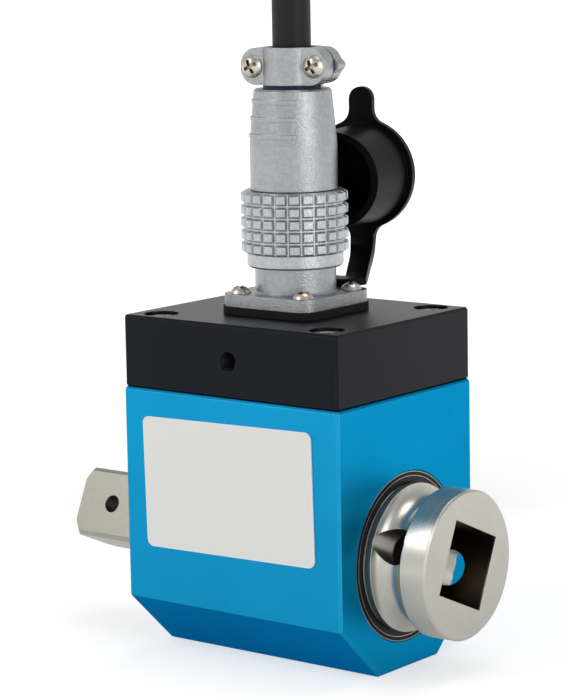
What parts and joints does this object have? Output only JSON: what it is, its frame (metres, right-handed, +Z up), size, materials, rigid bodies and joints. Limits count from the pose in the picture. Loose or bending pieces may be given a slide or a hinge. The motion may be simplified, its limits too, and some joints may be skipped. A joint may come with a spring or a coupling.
{
  "type": "rotary torque sensor",
  "caption": "Blue block with a torsion shaft through it, square drives at both ends, and a knurled cable connector on a black top cover.",
  "frame": {"origin": "centre of the housing's base", "axes": "+X along the shaft to the female square, -Y out of the labelled front, +Z up"},
  "size_m": [0.2309, 0.2247, 0.2388],
  "materials": {
    "blue_anodised": "satin blue anodised, machined faces",
    "black_anodised": "satin black anodised",
    "bare_label": "off-white satin plate, bare",
    "turned_steel": "turned and ground alloy steel, satin",
    "bearing_steel": "ground bearing steel",
    "ball_steel": "polished balls",
    "cage_brass": "machined cage",
    "seal_rubber": "moulded seal",
    "spring_steel": "black spring steel",
    "gauge_foil": "amber polyimide foil",
    "board_green": "green solder mask",
    "core_iron": "dark sintered core",
    "copper_coil": "enamelled copper winding",
    "spacer_alloy": "turned",
    "lead_red": "lead insulation",
    "lead_white": "lead insulation",
    "chip_black": "moulded component bodies",
    "screw_nickel": "nickel-plated screws",
    "gasket_rubber": "rough black rubber",
    "cast_nickel": "die-cast, matt nickel plated, fine grain",
    "insert_navy": "moulded insert",
    "gold_contact": "gold-plated contacts",
    "grommet_rubber": "dark navy rubber",
    "cap_rubber": "satin black rubber",
    "cable_jacket": "satin black jacket",
    "tie_nylon": "black nylon",
    "tinned_ferrule": "tinned crimp ferrules"
  },
  "bodies": {
    "body": {"housing": "blue_anodised", "top_cover": "black_anodised", "cover_screws": "screw_nickel", "label": "bare_label", "bearing_a_outer": "bearing_steel", "bearing_a_seals": "seal_rubber", "bearing_b_outer": "bearing_steel", "bearing_b_seals": "seal_rubber", "stator_core": "core_iron", "stator_coil": "copper_coil", "spacers": "spacer_alloy", "stator_leads": "lead_red", "main_board": "board_green", "board_parts": "chip_black", "board_screws": "screw_nickel", "signal_leads": "lead_white", "receptacle_gasket": "gasket_rubber", "receptacle_shell": "cast_nickel", "receptacle_insert": "insert_navy", "receptacle_pins": "gold_contact", "flange_screws": "screw_nickel", "plug_shell": "cast_nickel", "plug_insert": "insert_navy", "plug_contacts": "gold_contact", "backshell": "cast_nickel", "front_saddle": "cast_nickel", "clamp_screws": "screw_nickel", "grommet": "grommet_rubber", "dust_cap": "cap_rubber", "cable_riser": "cable_jacket", "cable_coil": "cable_jacket", "cable_ties": "tie_nylon", "cable_sleeve": "tie_nylon", "cable_leads": "lead_white", "lead_ferrules": "tinned_ferrule"},
    "shaft": {"torsion_shaft": "turned_steel", "bearing_a_inner": "bearing_steel", "bearing_b_inner": "bearing_steel", "shaft_circlip": "spring_steel", "strain_gauges": "gauge_foil", "rotor_board": "board_green", "rotor_core": "core_iron", "rotor_coil": "copper_coil"},
    "cage_a": {"bearing_a_cage": "cage_brass", "bearing_a_balls": "ball_steel"},
    "cage_b": {"bearing_b_cage": "cage_brass", "bearing_b_balls": "ball_steel"},
    "ring": {"coupling_ring": "cast_nickel"}
  },
  "joints": [
    {"name": "shaft_spin", "type": "hinge", "parent": "body", "child": "shaft", "pos_m": [0, 0, 0.029], "axis": [1, 0, 0], "continuous": true},
    {"name": "cage_a_spin", "type": "hinge", "parent": "body", "child": "cage_a", "pos_m": [-0.0311, 0, 0.029], "axis": [1, 0, 0], "continuous": true},
    {"name": "cage_b_spin", "type": "hinge", "parent": "body", "child": "cage_b", "pos_m": [0.0321, 0, 0.029], "axis": [1, 0, 0], "continuous": true},
    {"name": "ring_spin", "type": "hinge", "parent": "body", "child": "ring", "pos_m": [0, 0, 0.11], "axis": [0, 0, 1], "continuous": true}
  ],
  "couplings": [
    {"joint": "cage_a_spin", "follows": "shaft_spin", "ratio": 0.45139},
    {"joint": "cage_b_spin", "follows": "shaft_spin", "ratio": 0.46835}
  ]
}
